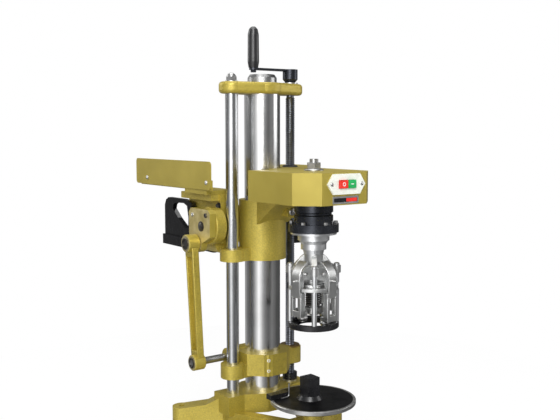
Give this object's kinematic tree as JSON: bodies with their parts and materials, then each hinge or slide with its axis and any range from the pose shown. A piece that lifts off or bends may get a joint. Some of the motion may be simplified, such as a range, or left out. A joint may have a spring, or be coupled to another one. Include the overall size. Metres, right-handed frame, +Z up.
{
  "type": "screw capping machine",
  "caption": "Bench-top screw capping machine: chrome column with guide rod and height screw, sliding belt-driven roller head, crank and rod lift, round bottle table.",
  "frame": {"origin": "centre of the column on the underside of the base feet", "axes": "+Z up along the column, -Y towards the spindle and the operator, +X to the right hand"},
  "size_m": [0.3719, 0.613, 0.8334],
  "materials": {
    "gold_paint": "metallic hammered gold paint",
    "chrome_bar": "polished hard chrome",
    "black_steel": "black oxide, slightly glossy",
    "bright_steel": "turned bright steel",
    "silver_cast": "machined bright alloy",
    "black_plastic": "glossy black",
    "black_rubber": "matt black",
    "white_plate": "satin white",
    "red_plastic": "glossy red",
    "green_plastic": "glossy green",
    "bronze": "machined bronze"
  },
  "bodies": {
    "frame": {"base_casting": "gold_paint", "column": "chrome_bar", "guide_rod": "chrome_bar", "top_plate": "gold_paint", "column_cap": "bright_steel", "acorn_nut": "bright_steel", "screw_bushes": "bright_steel", "table_post": "gold_paint", "bottle_table": "bright_steel", "bottle_rest": "black_plastic", "table_clamp": "black_steel", "table_wire": "bright_steel"},
    "screw": {"height_screw": "black_steel", "foot_collar": "black_steel", "crank_hub": "black_steel", "crank_arm": "black_steel"},
    "grip": {"crank_grip": "black_plastic"},
    "collar": {"lift_collar": "gold_paint", "lead_nut": "bronze", "lower_pin": "bright_steel"},
    "head": {"head_casting": "gold_paint", "gearbox_housing": "gold_paint", "bearing_cap": "gold_paint", "lift_motor": "black_steel", "motor_bracket": "black_steel", "rear_plate": "gold_paint", "guard_plate": "gold_paint", "spindle_motor": "black_steel", "belt_cover": "gold_paint", "screw_grommet": "black_rubber", "switch_plate": "white_plate", "spindle_housing": "black_steel", "flange_bolts": "bright_steel", "spindle_bearings": "bright_steel", "drive_belt": "black_rubber"},
    "stop": {"stop_button": "red_plastic"},
    "start": {"start_button": "green_plastic"},
    "crank": {"output_crank": "gold_paint"},
    "rod": {"connecting_rod": "gold_paint", "crank_pin": "bright_steel"},
    "motor": {"motor_pulley": "bright_steel"},
    "spindle": {"spindle_shaft": "bright_steel", "spindle_pulley": "bright_steel", "spindle_nut": "bright_steel", "spindle_neck": "silver_cast", "roller_carrier": "silver_cast", "lever_pins": "bright_steel", "spider_plate": "silver_cast", "cage_rods": "chrome_bar", "guide_ring": "black_steel"},
    "presser": {"pressure_block": "bright_steel"},
    "arm_1": {"lever_1": "silver_cast"},
    "wheel_1": {"roller_1": "bright_steel"},
    "arm_2": {"lever_2": "silver_cast"},
    "wheel_2": {"roller_2": "bright_steel"},
    "arm_3": {"lever_3": "silver_cast"},
    "wheel_3": {"roller_3": "bright_steel"},
    "arm_4": {"lever_4": "silver_cast"},
    "wheel_4": {"roller_4": "bright_steel"}
  },
  "joints": [
    {"name": "screw_turn", "type": "hinge", "parent": "frame", "child": "screw", "pos_m": [0.073, 0, 0.4], "axis": [0, 0, 1], "range_deg": [-540, 10800]},
    {"name": "collar_lift", "type": "slide", "parent": "frame", "child": "collar", "axis": [0, 0, 1], "range_m": [-0.006, 0.12]},
    {"name": "grip_spin", "type": "hinge", "parent": "screw", "child": "grip", "pos_m": [-0.01666, 0.00784, 0.79], "axis": [0, 0, 1], "continuous": true},
    {"name": "head_stroke", "type": "slide", "parent": "collar", "child": "head", "axis": [0, 0, 1], "range_m": [-0.07627, 0]},
    {"name": "crank_turn", "type": "hinge", "parent": "head", "child": "crank", "pos_m": [-0.115, 0.034, 0.422], "axis": [1, 0, 0], "range_deg": [0, 151]},
    {"name": "rod_swing", "type": "hinge", "parent": "collar", "child": "rod", "pos_m": [-0.14, 0.032, 0.1386], "axis": [1, 0, 0], "range_deg": [0, 4.62]},
    {"name": "spindle_turn", "type": "hinge", "parent": "head", "child": "spindle", "pos_m": [0, -0.175, 0.4], "axis": [0, 0, 1], "continuous": true},
    {"name": "motor_turn", "type": "hinge", "parent": "head", "child": "motor", "pos_m": [0.135, 0.095, 0.5], "axis": [0, 0, 1], "continuous": true},
    {"name": "presser_slide", "type": "slide", "parent": "spindle", "child": "presser", "axis": [0, 0, 1], "range_m": [0, 0.008], "stiffness_N_per_m": 2000, "springref_m": -0.002},
    {"name": "stop_press", "type": "slide", "parent": "head", "child": "stop", "axis": [0, 1, 0], "range_m": [0, 0.003], "stiffness_N_per_m": 400},
    {"name": "start_press", "type": "slide", "parent": "head", "child": "start", "axis": [0, 1, 0], "range_m": [0, 0.003], "stiffness_N_per_m": 400},
    {"name": "arm_1_swing", "type": "hinge", "parent": "spindle", "child": "arm_1", "pos_m": [0.03852, -0.1689, 0.3446], "axis": [-0.1564, 0.9877, 0], "range_deg": [0, 3], "stiffness_Nm_per_rad": 3, "springref_deg": -1.15},
    {"name": "wheel_1_spin", "type": "hinge", "parent": "arm_1", "child": "wheel_1", "pos_m": [0.02963, -0.17031, 0.25], "axis": [0, 0, 1], "continuous": true},
    {"name": "arm_2_swing", "type": "hinge", "parent": "spindle", "child": "arm_2", "pos_m": [-0.0061, -0.13648, 0.3446], "axis": [-0.9877, -0.1564, 0], "range_deg": [0, 3], "stiffness_Nm_per_rad": 3, "springref_deg": -1.15},
    {"name": "wheel_2_spin", "type": "hinge", "parent": "arm_2", "child": "wheel_2", "pos_m": [-0.00469, -0.14537, 0.25], "axis": [0, 0, 1], "continuous": true},
    {"name": "arm_3_swing", "type": "hinge", "parent": "spindle", "child": "arm_3", "pos_m": [-0.03852, -0.1811, 0.3446], "axis": [0.1564, -0.9877, 0], "range_deg": [0, 3], "stiffness_Nm_per_rad": 3, "springref_deg": -1.15},
    {"name": "wheel_3_spin", "type": "hinge", "parent": "arm_3", "child": "wheel_3", "pos_m": [-0.02963, -0.17969, 0.25], "axis": [0, 0, 1], "continuous": true},
    {"name": "arm_4_swing", "type": "hinge", "parent": "spindle", "child": "arm_4", "pos_m": [0.0061, -0.21352, 0.3446], "axis": [0.9877, 0.1564, 0], "range_deg": [0, 3], "stiffness_Nm_per_rad": 3, "springref_deg": -1.15},
    {"name": "wheel_4_spin", "type": "hinge", "parent": "arm_4", "child": "wheel_4", "pos_m": [0.00469, -0.20463, 0.25], "axis": [0, 0, 1], "continuous": true}
  ],
  "couplings": [
    {"joint": "screw_turn", "follows": "collar_lift", "rad_per_m": 1570.8},
    {"joint": "crank_turn", "follows": "head_stroke", "rad_per_m": -34.555},
    {"joint": "rod_swing", "follows": "head_stroke", "rad_per_m": -1.0561},
    {"joint": "motor_turn", "follows": "spindle_turn", "ratio": 1.4615},
    {"joint": "arm_2_swing", "follows": "arm_1_swing", "ratio": 1},
    {"joint": "arm_3_swing", "follows": "arm_1_swing", "ratio": 1},
    {"joint": "arm_4_swing", "follows": "arm_1_swing", "ratio": 1}
  ]
}
